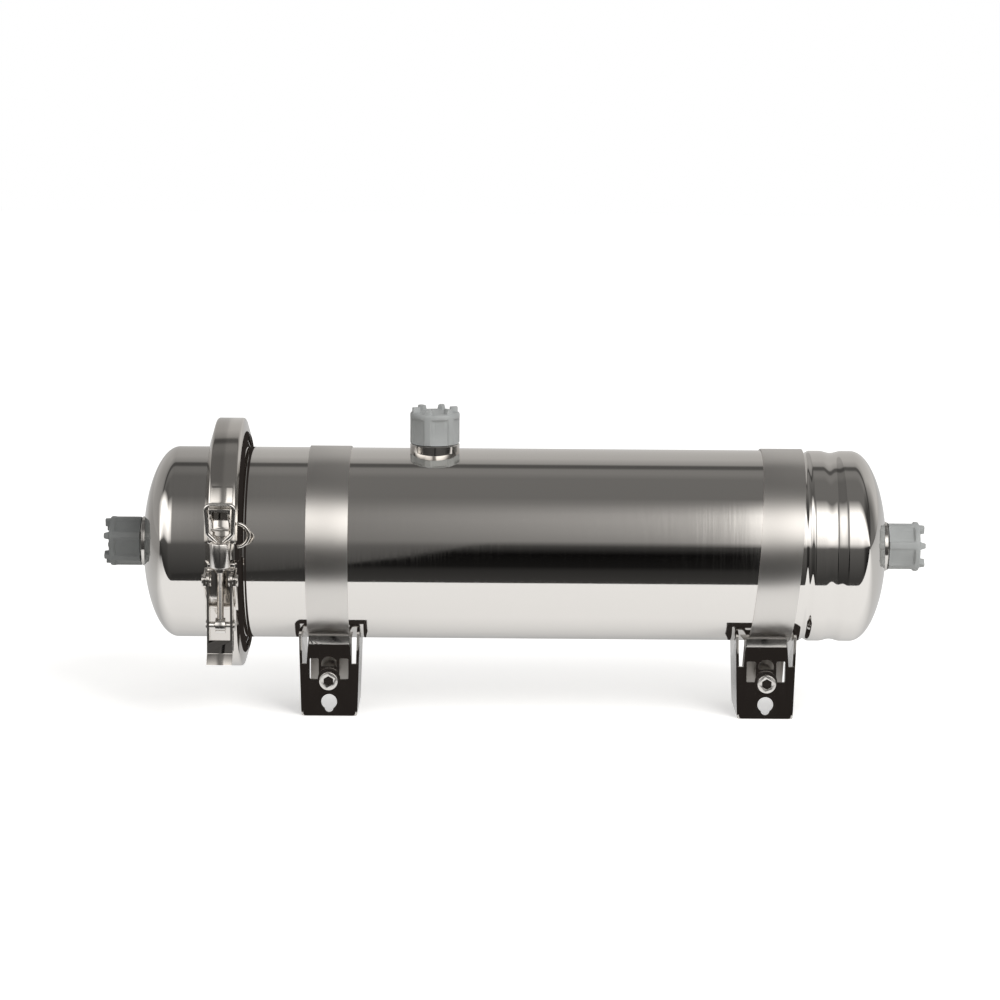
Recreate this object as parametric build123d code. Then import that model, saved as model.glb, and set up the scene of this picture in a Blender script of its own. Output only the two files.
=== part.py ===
"""Stainless steel ultrafiltration module on two strap feet.

Millimetres. The tube's axis is X, the latch and the foot plates face -Y, and +Z is up.
The origin is on the tube's axis, midway between the two end ports.
"""
from math import asin, cos, degrees, radians, sin, sqrt
import os

from build123d import *

# Barrel and heads, of drawn and polished sheet
shell_radius = 51.0
wall = 1.2
pole_x = 198.5
head_depth = 19.0

# Rolled grooves near the welded end, as centre, width and depth
grooves = ((154.5, 4.4, 1.2), (168.7, 9.0, 1.0))

# Clamped joint between the lid and the barrel, with heights above the tube
clamp_x = -152.0
gasket = 2.0
gasket_lip = 1.0
flange_height = 10.0
band_height = 15.5
band_depth = 10.0
band_flat = 14.0
band_sheet = 1.5
flank_slope = 0.294
flank_gap = 0.1
edge_round = 1.0

# Half-inch pipe ports and their screwed plastic caps
thread_radius = 10.48
port_bore = 8.0
port_inside = 3.0
collar_radius = 13.2
collar = 3.2
end_collar = 1.2
flush_x = -43.0
cap_radius = 13.2
cap_length = 16.6
cap_wall = 2.4
cap_gap = 0.3
flute_count = 6
flute_width = 9.4
flute_depth = 1.1
flute_rim = 2.6
lug_count = 6
lug_height = 2.7
lug_length = 4.0
lug_width = 3.6
cap_seal = 1.6
cap_turns = (24.0, -12.0, -17.0)

# Strap feet; the right strap leans along the tube, and depths are below the tube
foot_xs = (-98.5, 134.5)
strap_tilts = (0.0, 3.7)
strap_width = 22.0
strap_sheet = 0.8
strap_fit = 0.1
ear_gap = 2.2
ear_depth = 25.0
ear_bend = 5.0
foot_height = 39.0
foot_width = 30.0
foot_lean = 0.028
foot_sheet = 1.5
foot_front = 24.0
foot_back = 20.0
foot_top_back = 30.0
foot_fit = 0.1
strap_side_gap = 2.0
foot_bend = 2.5
bolt_depth = 18.4
bolt_radius = 3.0
bolt_hole = 3.3
bolt_head = 5.0
bolt_head_height = 6.0
bolt_socket = 2.5
nut_flats = 10.0
nut_height = 5.0
bolt_tail = 3.0
washer_radius = 6.0
washer = 1.2
spacer_radius = 5.0
keyhole_depth = 31.2
keyhole_radius = 4.2
keyhole_slot = 2.3
keyhole_run = 3.4
arch_width = 8.4
arch_depths = (6.5, 12.0)
window_width = 4.8
window_depths = (7.5, 19.0)
window_offset = 7.9
neck_half = 10.9
neck_flare = 1.1
neck_depth = 4.0
notch_depth = 10.5
rib_size = (10.0, 1.6, 0.6)
rib_depth = 25.6

# Over-centre latch, with heights above the band and places up and down it
pivot_height = 7.5
pivot_z = -6.5
rod_height = 6.0
rod_z = -30.5
bar_z = 32.5
lever_end = -44.0
lever_half = 6.6
lever_sheet = 1.2
lever_eye = 4.4
lever_crown = 4.0
web_height = 12.5
web_top = -37.0
lever_lip = 5.0
pin_radius = 2.0
pin_gap = 0.1
pin_head = 3.1
pin_head_height = 0.9
ear_inner = 7.0
ear_sheet = 1.4
ear_round = 1.5
base_sheet = 1.2
base_fit = 0.02
base_angles = (-1.0, -21.0)
catch_angles = (12.0, 36.0)
catch_half = 5.5
catch_height = 9.0
cheek_inset = 3.0
rod_radius = 1.75
rod_eye = 4.0
rod_eye_width = 5.0
sleeve_radius = 5.3
sleeve_span = (0.0, 13.0)
locknut_flats = 6.0
locknut_height = 2.4
link_wire = 1.2
link_half = 7.4
link_waist = 6.4
link_bend = 2.4
seat_gap = 0.3
band_gap_angles = (1.0, 9.5)
loop_radius = 6.0
loop_wire = 1.0
loop_sink = 5.0
loop_z = 15.0

# Membrane cartridge inside the barrel
cartridge_inset = 8.5
cartridge_wall = 2.5
cartridge_proud = 6.0
cartridge_short = 38.5
window_hole = 7.0
window_insets = (23.0, 30.0)
window_count = 6
bundle_gap = 0.5
potting = 14.0
cup_wall = 2.0
cup_depth = 12.0
cup_floor = 4.0
cup_cone = 13.0
nozzle_radius = 7.6
nozzle_bore = 5.0
nozzle_short = 6.3
nozzle_ring = 1.1
nozzle_ring_inset = 1.0
inlet_hole = 8.0
inlet_hole_inset = 18.5
carrier_inset = 2.0
carrier_width = 8.0
carrier_fit = 0.2
carrier_hole = 1.7
carrier_holes = 8

# Places worked out from the sizes above
CENTRED_UP = (Align.CENTER, Align.CENTER, Align.MIN)
port_stub = cap_length - cap_wall - cap_seal
barrel_bore = shell_radius - wall
head_x = pole_x - head_depth
face_x = clamp_x + gasket / 2
flank_half = band_flat / 2 - band_sheet
flange_radius = shell_radius + flange_height
band_radius = shell_radius + band_height
band_mouth = band_radius - band_depth
strap_radius = shell_radius + strap_fit + strap_sheet
ear_drop = shell_radius + ear_depth
floor_drop = shell_radius + foot_height
bolt_drop = shell_radius + bolt_depth
keyhole_drop = shell_radius + keyhole_depth
rib_drop = shell_radius + rib_depth
notch_drop = shell_radius + notch_depth
stack_y = foot_front - foot_sheet
pivot_y = -band_radius - pivot_height
rod_y = -band_radius - rod_height
web_y = -band_radius - web_height
catch_reach = band_radius + catch_height
cartridge_radius = shell_radius - cartridge_inset
cartridge_start = clamp_x - cartridge_proud
cartridge_end = pole_x - cartridge_short
carrier_x = clamp_x - carrier_inset
nozzle_reach = pole_x + end_collar + port_stub - nozzle_short
nozzle_ring_x = pole_x + nozzle_ring_inset


def tube(outer, inner, start, end):
    """A sleeve about the X axis."""
    blank = Cylinder(outer, end - start, rotation=(0, 90, 0))
    hole = Cylinder(inner, end - start, rotation=(0, 90, 0))
    return Pos((start + end) / 2, 0, 0) * (blank - hole)


def rod_between(radius, start, end):
    """A round bar along Y or Z between two points."""
    way = Vector(end) - Vector(start)
    plane = Plane(origin=start, z_dir=way.normalized())
    return extrude(plane * Circle(radius), amount=way.length)


def cross_bar(radius, half, y, z, start=None):
    """A round bar along X, centred on the clamp, or from start to half on one side."""
    low = -half if start is None else start
    bar = Cylinder(radius, half - low, rotation=(0, 90, 0))
    return Pos(clamp_x + (low + half) / 2, y, z) * bar


def plate_yz(points, x, thickness):
    """A flat plate square to X, from x towards +X."""
    return extrude(Plane.YZ.offset(x) * make_face(Polyline(points, close=True)), amount=thickness)


def groove_run(radius):
    """The straight line of the barrel with its rolled grooves, from the clamp to the head."""
    edges = []
    x = face_x
    for centre, width, depth in grooves:
        start = centre - width / 2
        end = centre + width / 2
        edges.append(Line((x, radius), (start, radius)))
        edges.append(ThreePointArc((start, radius), (centre, radius - depth), (end, radius)))
        x = end
    edges.append(Line((x, radius), (head_x, radius)))
    return edges


def head_arc(radius, depth, hole):
    """A quarter ellipse from the barrel's end to the edge of the port's hole."""
    sweep = 90 - degrees(asin(hole / radius))
    return EllipticalCenterArc((head_x, 0), depth, radius, start_angle=90, arc_size=-sweep)


def domed_sheet(run, run_inside, hole):
    """A drawn sheet cup: two parallel lines closed at the mouth and at the port's hole."""
    outer = run + [head_arc(shell_radius, head_depth, hole)]
    inner = run_inside + [head_arc(barrel_bore, head_depth - wall, hole)]
    mouth = Line(outer[0] @ 0, inner[0] @ 0)
    rim = Line(outer[-1] @ 1, inner[-1] @ 1)
    face = make_face(outer + inner + [mouth, rim])
    return revolve(face, axis=Axis.X, revolution_arc=360)


def flank_x(radius):
    """Half the width inside the clamp band's sloping sides, at a radius."""
    return flank_half + (band_radius - band_sheet - radius) * flank_slope


def flange(face, towards):
    """The machined ring that a band's side bears on, from its face towards +X or -X."""
    rim = flank_x(flange_radius) - flank_gap
    root = flank_x(shell_radius) - flank_gap
    points = [
        (face, shell_radius),
        (face, flange_radius),
        (clamp_x + towards * rim, flange_radius),
        (clamp_x + towards * root, shell_radius),
    ]
    return revolve(make_face(Polyline(points, close=True)), axis=Axis.X, revolution_arc=360)


def barrel():
    """The barrel with its welded head, its clamp flange and the flush port's hole."""
    body = domed_sheet(groove_run(shell_radius), groove_run(barrel_bore), thread_radius)
    body += flange(face_x, 1)
    hole = Pos(flush_x, 0, 0) * Cylinder(thread_radius, shell_radius + collar, align=CENTRED_UP)
    return body - hole


def lid():
    """The removable head: the welded head's cup turned round, with its own flange."""
    lid_mouth = clamp_x - gasket / 2
    outer = [Line((-lid_mouth, shell_radius), (head_x, shell_radius))]
    inner = [Line((-lid_mouth, barrel_bore), (head_x, barrel_bore))]
    cup = domed_sheet(outer, inner, thread_radius)
    return cup.mirror(Plane.YZ) + flange(lid_mouth, -1)


def lid_gasket():
    """A flat ring between the two flanges."""
    half = gasket / 2
    return tube(flange_radius - gasket_lip, barrel_bore, clamp_x - half, clamp_x + half)


def band_section():
    """The clamp band's channel, open towards the tube, with rounded shoulders."""
    outer_half = band_flat / 2
    foot_outer = outer_half + (band_radius - band_mouth) * flank_slope
    foot_inner = flank_x(band_mouth)
    top = band_radius - band_sheet
    points = [
        (clamp_x - foot_outer, band_mouth),
        (clamp_x - outer_half, band_radius),
        (clamp_x + outer_half, band_radius),
        (clamp_x + foot_outer, band_mouth),
        (clamp_x + foot_inner, band_mouth),
        (clamp_x + flank_half, top),
        (clamp_x - flank_half, top),
        (clamp_x - foot_inner, band_mouth),
    ]
    face = make_face(Polyline(points, close=True))
    shoulders = [v for v in face.vertices() if abs(v.Y - band_radius) < 1e-6]
    return fillet(shoulders, edge_round)


def front_ring(face, low, high):
    """Turns a section about X, from one angle above the front to another, in degrees."""
    start = Rot(180 - low, 0, 0) * face
    return revolve(start, axis=Axis.X, revolution_arc=-(high - low))


def clamp_band():
    """The sprung band, open at the front where the latch bridges its two ends."""
    low, high = band_gap_angles
    return front_ring(band_section(), high, 360 + low)


def curved_plate(half, inner, thickness, low, high):
    """A plate that lies on the band, from one angle above the front to another."""
    points = [
        (clamp_x - half, inner),
        (clamp_x - half, inner + thickness),
        (clamp_x + half, inner + thickness),
        (clamp_x + half, inner),
    ]
    return front_ring(make_face(Polyline(points, close=True)), low, high)


def on_ring(radius, angle):
    """The Y, Z place at a radius and an angle above the front."""
    return (-radius * cos(radians(angle)), radius * sin(radians(angle)))


def latch_base():
    """Two ears on a curved plate, welded to the band's lower end."""
    seat = band_radius + base_fit
    top = seat + base_sheet
    low, high = base_angles[1], base_angles[0]
    base = curved_plate(ear_inner + ear_sheet, seat, base_sheet, low, high)
    outline = [
        on_ring(top - base_sheet / 2, high),
        (pivot_y - lever_eye, pivot_z + lever_eye / 2),
        (pivot_y - lever_eye, pivot_z - lever_eye / 2),
        on_ring(top - base_sheet / 2, low),
    ]
    for x in (-ear_inner - ear_sheet, ear_inner):
        ear = plate_yz(outline, clamp_x + x, ear_sheet)
        ear = fillet(ear.edges().filter_by(Axis.X).group_by(Axis.Y)[0], ear_round)
        base += ear - Pos(clamp_x, 0, 0) * seat_blank(seat)
    return base - cross_bar(pin_radius, ear_inner + ear_sheet, pivot_y, pivot_z)


def seat_blank(radius):
    """A solid drum as long as the clamp is wide, to cut a seat with."""
    return Cylinder(radius, 6 * ear_inner, rotation=(0, 90, 0))


def latch_catch():
    """A folded catch on the band's upper end: two cheeks and the shelf the link bears on."""
    seat = band_radius + base_fit
    low, high = catch_angles
    base = curved_plate(catch_half, seat, base_sheet, low, high)
    shelf_top = bar_z - link_wire - seat_gap
    outline = [
        on_ring(band_radius - base_sheet, low + cheek_inset),
        (-catch_reach, shelf_top - 2 * ear_sheet),
        (-catch_reach, shelf_top),
        (-band_radius / 2, shelf_top),
    ]
    shelf = [
        (-catch_reach, shelf_top - ear_sheet),
        (-catch_reach, shelf_top),
        (-band_radius / 2, shelf_top),
        (-band_radius / 2, shelf_top - ear_sheet),
    ]
    hook = plate_yz(shelf, clamp_x - catch_half, 2 * catch_half)
    for x in (-catch_half, catch_half - ear_sheet):
        hook += plate_yz(outline, clamp_x + x, ear_sheet)
    return base + (hook - Pos(clamp_x, 0, 0) * seat_blank(seat))


def latch_lever():
    """The folded handle: two side plates joined by a web and a turned lip at the free end."""
    outline = [
        (pivot_y - lever_eye, pivot_z + lever_eye),
        (pivot_y + lever_eye, pivot_z + lever_eye),
        (rod_y + lever_eye, rod_z),
        (rod_y + lever_eye / 2, lever_end),
        (web_y, lever_end),
        (web_y, web_top),
    ]
    lever = None
    for x in (-lever_half, lever_half - lever_sheet):
        side = plate_yz(outline, clamp_x + x, lever_sheet)
        crown = side.edges().filter_by(Axis.X).sort_by(Axis.Z)[-2:]
        side = fillet(crown, lever_crown)
        lever = side if lever is None else lever + side
    web = [
        (web_y, web_top),
        (web_y + lever_sheet, web_top),
        (web_y + lever_sheet, lever_end),
        (web_y - lever_lip + lever_sheet, lever_end - lever_lip),
        (web_y - lever_lip, lever_end - lever_lip),
        (web_y, lever_end),
    ]
    lever += plate_yz(web, clamp_x - lever_half, 2 * lever_half)
    lever -= cross_bar(pin_radius + pin_gap, lever_half, pivot_y, pivot_z)
    return lever - cross_bar(pin_radius, lever_half, rod_y, rod_z)


def pivot_rivets():
    """Two short rivets, one in each ear, that leave the middle free for the rod."""
    rivets = []
    outer = ear_inner + ear_sheet
    inner = lever_half - lever_sheet - pin_gap
    for side in (-1, 1):
        rivet = cross_bar(pin_radius, outer, pivot_y, pivot_z, inner)
        rivet += cross_bar(pin_head, outer + pin_head_height, pivot_y, pivot_z, outer)
        rivet += cross_bar(pin_head - pin_gap, inner, pivot_y, pivot_z, inner - pin_head_height)
        if side < 0:
            rivet = Pos(clamp_x, 0, 0) * (Pos(-clamp_x, 0, 0) * rivet).mirror(Plane.YZ)
        rivets.append(rivet)
    return Compound(children=rivets)


def rod_pin():
    """The pin across the lever that the rod's eye turns on, headed at both ends."""
    pin = cross_bar(pin_radius, lever_half, rod_y, rod_z)
    for side in (-1, 1):
        ends = sorted((side * lever_half, side * (lever_half + pin_head_height)))
        pin += cross_bar(pin_head, ends[1], rod_y, rod_z, ends[0])
    return pin


def draw_rod():
    """The threaded rod with a forged eye at its foot."""
    rod = rod_between(rod_radius, (clamp_x, rod_y, rod_z), (clamp_x, rod_y, sleeve_span[0]))
    rod += cross_bar(rod_eye, rod_eye_width / 2, rod_y, rod_z)
    return rod - cross_bar(pin_radius + pin_gap, rod_eye_width / 2, rod_y, rod_z)


def adjusting_sleeve():
    """The round nut between the rod and the link, with eased rims."""
    low, high = sleeve_span
    sleeve = rod_between(sleeve_radius, (clamp_x, rod_y, low), (clamp_x, rod_y, high))
    return fillet(sleeve.edges().filter_by(GeomType.CIRCLE), link_wire / 2)


def locknut():
    """A thin hexagon nut under the sleeve."""
    plane = Plane(origin=(clamp_x, rod_y, sleeve_span[0] - locknut_height), z_dir=(0, 0, 1))
    hexagon = RegularPolygon(locknut_flats / 2, 6, major_radius=False)
    nut = extrude(plane * hexagon, amount=locknut_height)
    bottom = (clamp_x, rod_y, sleeve_span[0] - locknut_height)
    return nut - rod_between(rod_radius, bottom, (clamp_x, rod_y, sleeve_span[0]))


def draw_link():
    """The bent wire link that hooks over the catch's shelf."""
    foot = sleeve_span[1]
    root = link_wire * 1.5
    places = [
        (-root, foot),
        (-link_waist, foot + link_waist - root),
        (-link_half, bar_z),
        (link_half, bar_z),
        (link_waist, foot + link_waist - root),
        (root, foot),
    ]
    path = FilletPolyline([(clamp_x + x, rod_y, z) for x, z in places], radius=link_bend)
    section = Plane(origin=path @ 0, z_dir=path % 0) * Circle(link_wire)
    wire = sweep(section, path=path)
    size = 4 * link_half
    blank = Pos(clamp_x, rod_y, foot) * Box(size, size, size, align=CENTRED_UP)
    return wire & blank


def seal_loop():
    """A small wire loop on the band's side for a lead seal."""
    y = loop_sink - band_radius
    x = clamp_x + flank_x(sqrt(y * y + loop_z * loop_z)) + band_sheet
    ring = Pos(x, y, loop_z) * Rot(90, 0, 0) * Torus(loop_radius, loop_wire)
    size = 4 * loop_radius
    outside = Box(size, size, size, align=(Align.MIN, Align.CENTER, Align.CENTER))
    half = Pos(x - band_sheet / 2, y, loop_z) * outside
    return (ring & half) - front_ring(band_section(), base_angles[1], catch_angles[1])


def end_port(side):
    """A half-inch threaded stub with a welded collar, through the middle of a head."""
    rim_x = head_x + head_depth * sqrt(1 - (collar_radius / shell_radius) ** 2)
    collar_end = pole_x + end_collar
    dome = revolve(
        make_face(
            [
                EllipticalCenterArc((head_x, 0), head_depth, shell_radius, start_angle=90, arc_size=-90),
                Line((head_x, 0), (pole_x, 0)),
                Line((head_x, 0), (head_x, shell_radius)),
            ]
        ),
        axis=Axis.X,
        revolution_arc=360,
    )
    stub = tube(collar_radius, port_bore, rim_x, collar_end) - dome
    stub += tube(thread_radius, port_bore, pole_x - port_inside, collar_end + port_stub)
    return stub if side > 0 else stub.mirror(Plane.YZ)


def flush_port():
    """The same stub on top of the barrel, its collar saddled to the tube."""
    low = sqrt(shell_radius**2 - collar_radius**2)
    high = shell_radius + collar
    ring = Pos(0, 0, low) * Cylinder(collar_radius, high - low, align=CENTRED_UP)
    ring -= Cylinder(shell_radius, 4 * collar_radius, rotation=(0, 90, 0))
    bottom = shell_radius - port_inside
    stub = Pos(0, 0, bottom) * Cylinder(thread_radius, high + port_stub - bottom, align=CENTRED_UP)
    bore = Pos(0, 0, bottom) * Cylinder(port_bore, high + port_stub - bottom, align=CENTRED_UP)
    return Pos(flush_x, 0, 0) * (ring + stub - bore)


def thread_cap(turn):
    """A moulded screw cap, its mouth at the origin, its lugged end towards +Z and screwed to an angle."""
    cap = Cylinder(cap_radius, cap_length, align=CENTRED_UP)
    cap = fillet(cap.edges().group_by(Axis.Z)[-1], edge_round)
    flute = Box(flute_width, 2 * flute_depth, cap_length - flute_rim, align=CENTRED_UP)
    flute = Pos(0, cap_radius, 0) * flute
    lug = Pos(0, cap_radius - lug_length / 2 - edge_round, cap_length) * Box(
        lug_width, lug_length, lug_height, align=CENTRED_UP
    )
    for i in range(flute_count):
        cap -= Rot(0, 0, 360 * (i + 0.5) / flute_count) * flute
    for i in range(lug_count):
        cap += Rot(0, 0, 360 * i / lug_count) * lug
    depth = cap_length - cap_wall
    return Rot(0, 0, turn) * (cap - Cylinder(thread_radius + cap_gap, depth, align=CENTRED_UP))


def cap_washer():
    """The soft disc at the bottom of a cap."""
    disc = Cylinder(thread_radius + cap_gap, cap_seal, align=CENTRED_UP)
    return Pos(0, 0, cap_length - cap_wall - cap_seal) * disc


def on_end(shape, side):
    """Puts a cap or its washer on an end port, just clear of the collar."""
    start = pole_x + end_collar + cap_gap
    return Pos(side * start, 0, 0) * Rot(0, side * 90, 0) * shape


def on_flush(shape):
    """Puts a cap or its washer on the flush port."""
    return Pos(flush_x, 0, shell_radius + collar + cap_gap) * shape


def leaning_slab(x, tilt, width):
    """A tall block at a strap's bolt, leaning along the tube by an angle in degrees."""
    size = 4 * shell_radius
    return Pos(x, 0, -bolt_drop) * Rot(0, tilt, 0) * Pos(0, 0, bolt_drop) * Box(width, size, size)


def strap(x, tilt):
    """A band round the tube whose two ends hang down as ears, with a bolt hole through both."""
    inner = shell_radius + strap_fit
    ring = Circle(strap_radius) - Circle(inner)
    ear_half = ear_gap / 2 + strap_sheet
    neck = sqrt(strap_radius**2 - ear_half**2)
    top_down = (Align.CENTER, Align.MAX)
    ear_length = ear_drop - neck + ear_bend / 2
    ears = Pos(0, ear_bend / 2 - neck) * Rectangle(2 * ear_half, ear_length, align=top_down)
    slot = Pos(0, ear_bend - inner) * Rectangle(ear_gap, ear_drop, align=top_down)
    outline = ring + ears - slot - Circle(inner)
    roots = [
        v
        for v in outline.vertices()
        if abs(abs(v.X) - ear_half) < 0.01 and v.Y < -inner and v.Y > -strap_radius - 0.01
    ]
    outline = fillet(roots, ear_bend)
    band = extrude(Plane.YZ.offset(x - strap_width) * outline, amount=2 * strap_width)
    band &= leaning_slab(x, tilt, strap_width)
    hole = Cylinder(bolt_hole, 6 * ear_half, rotation=(90, 0, 0))
    return band - Pos(x, 0, -bolt_drop) * hole


def foot_wedge(x, half, front):
    """A block from a front face backwards, wider at the top by the lean of the foot's sides."""
    top_half = half + foot_lean * floor_drop
    points = [(-half, -floor_drop), (half, -floor_drop), (top_half, 0), (-top_half, 0)]
    plane = Plane(origin=(x, -front, 0), x_dir=(1, 0, 0), z_dir=(0, -1, 0))
    length = front + foot_top_back + foot_sheet
    return extrude(plane * make_face(Polyline(points, close=True)), amount=-length)


def foot(x, tilt):
    """A folded foot: a front plate with a keyhole and two sides cut to the tube's curve."""
    curve = shell_radius + foot_fit
    top = strap_radius + foot_fit
    side = [
        (-foot_front, -floor_drop),
        (foot_back, -floor_drop),
        (foot_top_back, -sqrt(curve**2 - foot_top_back**2)),
        (foot_top_back, 0),
        (-foot_front, 0),
    ]
    body = plate_yz(side, x - foot_width, 2 * foot_width) & foot_wedge(x, foot_width / 2, foot_front)
    front = body.edges().group_by(Axis.Y)[0]
    body = fillet([e for e in front if abs(e.tangent_at(0.5).Z) > 0.5], foot_bend)
    body -= foot_wedge(x, foot_width / 2 - foot_sheet, stack_y)
    body -= Pos(x, 0, 0) * Cylinder(curve, 2 * foot_width, rotation=(0, 90, 0))
    strap_room = Pos(x, 0, 0) * Cylinder(top, 2 * foot_width, rotation=(0, 90, 0))
    body -= strap_room & leaning_slab(x, tilt, strap_width + 2 * strap_side_gap)
    body -= foot_cuts(x)
    width, height, proud = rib_size
    return body + Pos(x, -foot_front, -rib_drop) * Box(width, 2 * proud, height)


def foot_cuts(x):
    """The keyhole, the bolt's hole, the arch, the windows and the notches, as one cutting shape."""
    high, low = [shell_radius + depth for depth in arch_depths]
    radius = arch_width / 2
    sill = Rectangle(arch_width, low - high, align=(Align.CENTER, Align.MAX))
    shapes = [
        Pos(0, -keyhole_drop) * Circle(keyhole_radius),
        Pos(0, -keyhole_drop - keyhole_run) * Circle(keyhole_slot),
        Pos(0, -keyhole_drop - keyhole_run / 2) * Rectangle(2 * keyhole_slot, keyhole_run),
        Pos(0, -bolt_drop) * Circle(bolt_hole),
        (Pos(0, -high - radius) * Circle(radius)) & (Pos(0, -high) * sill),
    ]
    window_height = window_depths[1] - window_depths[0]
    for side in (-1, 1):
        window = RectangleRounded(window_width, window_height, foot_sheet / 2)
        window_z = -shell_radius - sum(window_depths) / 2
        shapes.append(Pos(side * window_offset, window_z) * window)
        notch = [
            (side * neck_half, 0),
            (side * neck_half, neck_depth - shell_radius),
            (side * (neck_half + neck_flare), -notch_drop),
            (side * foot_width, -notch_drop),
            (side * foot_width, 0),
        ]
        shapes.append(make_face(Polyline(notch, close=True)))
    sketch = Sketch() + shapes
    plane = Plane(origin=(x, -stack_y, 0), x_dir=(1, 0, 0), z_dir=(0, -1, 0))
    return extrude(plane * sketch, amount=2 * foot_sheet)


def along_bolt(x, radius, start, end):
    """A round bar along a foot's bolt, between two places on Y."""
    return rod_between(radius, (x, start, -bolt_drop), (x, end, -bolt_drop))


def foot_bolt(x):
    """A socket-head screw through the foot, the spacer, both ears and the nut."""
    seat = -foot_front - washer
    tail = ear_gap / 2 + strap_sheet + washer + nut_height + bolt_tail
    head = along_bolt(x, bolt_head, seat, seat - bolt_head_height)
    head = fillet(head.edges().group_by(Axis.Y)[0], edge_round / 2)
    plane = Plane(origin=(x, seat - bolt_head_height, -bolt_drop), z_dir=(0, 1, 0))
    hexagon = plane * RegularPolygon(bolt_socket, 6, major_radius=False)
    socket = extrude(hexagon, amount=bolt_head_height / 2)
    return head - socket + along_bolt(x, bolt_radius, seat, tail)


def foot_washers(x):
    """The washer under the screw's head and the one under the nut."""
    front = -foot_front
    back = ear_gap / 2 + strap_sheet
    pair = []
    for start, end in ((front - washer, front), (back, back + washer)):
        ring = along_bolt(x, washer_radius, start, end) - along_bolt(x, bolt_radius, start, end)
        pair.append(ring)
    return Compound(children=pair)


def foot_nut(x):
    """The hexagon nut behind the ears."""
    start = ear_gap / 2 + strap_sheet + washer
    plane = Plane(origin=(x, start, -bolt_drop), z_dir=(0, 1, 0))
    nut = extrude(plane * RegularPolygon(nut_flats / 2, 6, major_radius=False), amount=nut_height)
    return nut - along_bolt(x, bolt_radius, start, start + nut_height)


def foot_spacer(x):
    """The sleeve that keeps the front plate off the strap's ears."""
    start = -stack_y
    end = -ear_gap / 2 - strap_sheet
    return along_bolt(x, spacer_radius, start, end) - along_bolt(x, bolt_radius, start, end)


def ear_packing(x):
    """The ring washer that keeps the two ears apart."""
    half = ear_gap / 2
    return along_bolt(x, spacer_radius, -half, half) - along_bolt(x, bolt_radius, -half, half)


def cartridge_tube():
    """The cartridge's plastic tube with a ring of windows at each end."""
    start, end = cartridge_start, cartridge_end
    body = tube(cartridge_radius, cartridge_radius - cartridge_wall, start, end)
    for x in (start + window_insets[0], end - window_insets[1]):
        for i in range(window_count // 2):
            hole = Cylinder(window_hole, 4 * cartridge_radius)
            body -= Pos(x, 0, 0) * Rot(360 * i / window_count, 0, 0) * hole
    return body


def potting_plug(side):
    """The resin that seals the fibres at one end of the cartridge."""
    bore = cartridge_radius - cartridge_wall
    low = cartridge_start if side < 0 else cartridge_end - potting
    plug = Cylinder(bore, potting, rotation=(0, 90, 0))
    return Pos(low + potting / 2, 0, 0) * plug


def fibre_bundle():
    """The bundle of hollow fibres between the two resin plugs."""
    low = cartridge_start + potting
    high = cartridge_end - potting
    bundle = Cylinder(cartridge_radius - cartridge_wall - bundle_gap, high - low, rotation=(0, 90, 0))
    return Pos((low + high) / 2, 0, 0) * bundle


def collector_cup():
    """The moulded cup on the outlet end, with the nozzle that enters the outlet port."""
    end = cartridge_end
    outer = cartridge_radius + cup_wall
    neck = nozzle_ring_x - nozzle_ring
    points = [
        (end - cup_depth, cartridge_radius),
        (end - cup_depth, outer),
        (end + cup_floor, outer),
        (end + cup_cone, nozzle_radius + cup_wall),
        (end + cup_cone + cup_wall, nozzle_radius),
        (neck, nozzle_radius),
        (neck, port_bore - 2 * nozzle_ring),
        (neck + 2 * nozzle_ring, port_bore - 2 * nozzle_ring),
        (neck + 2 * nozzle_ring, nozzle_radius),
        (nozzle_reach, nozzle_radius),
        (nozzle_reach, nozzle_bore),
        (end + cup_floor, nozzle_bore),
        (end, cartridge_radius - cartridge_wall),
        (end, cartridge_radius),
    ]
    return revolve(make_face(Polyline(points, close=True)), axis=Axis.X, revolution_arc=360)


def nozzle_seal():
    """The ring seal between the nozzle and the outlet port."""
    return Pos(nozzle_ring_x, 0, 0) * Rot(0, 90, 0) * Torus(port_bore - nozzle_ring, nozzle_ring)


def inlet_cup():
    """The moulded cup on the inlet end, open to the lid through a ring of holes."""
    start = cartridge_start
    outer = cartridge_radius + cup_wall
    body = tube(outer, cartridge_radius, start, start + cup_depth)
    floor = Cylinder(outer, cup_floor, rotation=(0, 90, 0))
    body += Pos(start - cup_floor / 2, 0, 0) * floor
    circle = cartridge_radius - inlet_hole_inset
    for i in range(window_count):
        hole = Pos(0, circle, 0) * Cylinder(inlet_hole, 4 * cup_floor, rotation=(0, 90, 0))
        body -= Pos(start, 0, 0) * Rot(360 * i / window_count, 0, 0) * hole
    return body


def cartridge_carrier():
    """The spoked ring that centres the cartridge in the barrel's mouth."""
    inner = cartridge_radius + cup_wall
    low = carrier_x - carrier_width / 2
    ring = tube(barrel_bore - carrier_fit, inner, low, low + carrier_width)
    middle = (barrel_bore + inner) / 2
    for i in range(carrier_holes):
        hole = Pos(0, middle, 0) * Cylinder(carrier_hole, carrier_width, rotation=(0, 90, 0))
        ring -= Pos(carrier_x, 0, 0) * Rot(360 * i / carrier_holes, 0, 0) * hole
    return ring


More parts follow.
